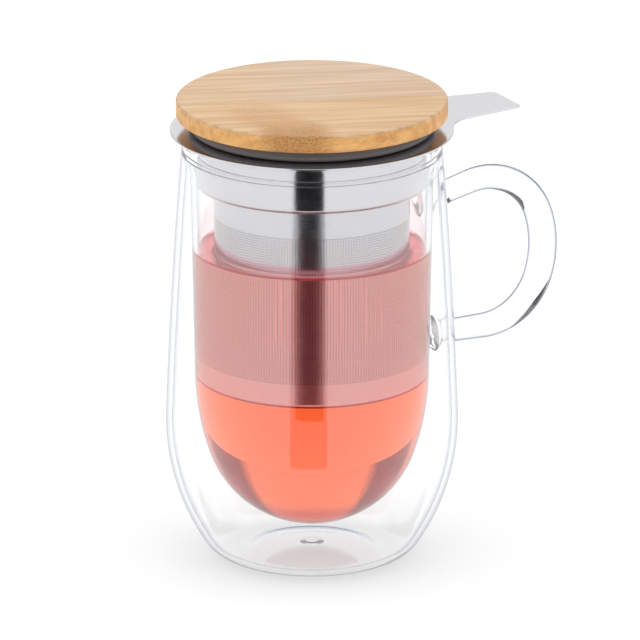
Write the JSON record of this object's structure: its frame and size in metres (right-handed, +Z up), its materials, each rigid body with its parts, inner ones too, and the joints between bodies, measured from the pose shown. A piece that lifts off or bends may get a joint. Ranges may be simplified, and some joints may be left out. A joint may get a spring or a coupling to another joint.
{
  "type": "lidded tea mug with infuser",
  "caption": "Double-walled glass tea mug with a rod handle, a lift-out steel infuser with a thumb tab, and a loose bamboo lid with a silicone ring.",
  "frame": {"origin": "where the mug's axis meets the surface that it stands on", "axes": "+Z up along the mug's axis, +X towards the handle and the infuser's thumb tab"},
  "size_m": [0.1301, 0.09, 0.1461],
  "materials": {
    "glass": "clear, fire polished",
    "steel": "polished stainless steel",
    "bamboo": "sanded, oiled",
    "silicone": "matt dark grey"
  },
  "bodies": {
    "mug": {"outer_wall": "glass", "vent_seal": "glass", "inner_bowl": "glass", "handle": "glass"},
    "infuser": {"infuser_rim": "steel", "infuser_sleeve": "steel", "infuser_floor": "steel"},
    "lid": {"lid_strip_1": "bamboo", "lid_strip_2": "bamboo", "lid_strip_3": "bamboo", "lid_strip_4": "bamboo", "lid_seal": "silicone"}
  },
  "joints": [
    {"name": "infuser_lift", "type": "slide", "parent": "mug", "child": "infuser", "axis": [0, 0, 1], "range_m": [0, 0.12]},
    {"name": "lid_lift", "type": "slide", "parent": "infuser", "child": "lid", "axis": [0, 0, 1], "range_m": [0, 0.06]}
  ]
}
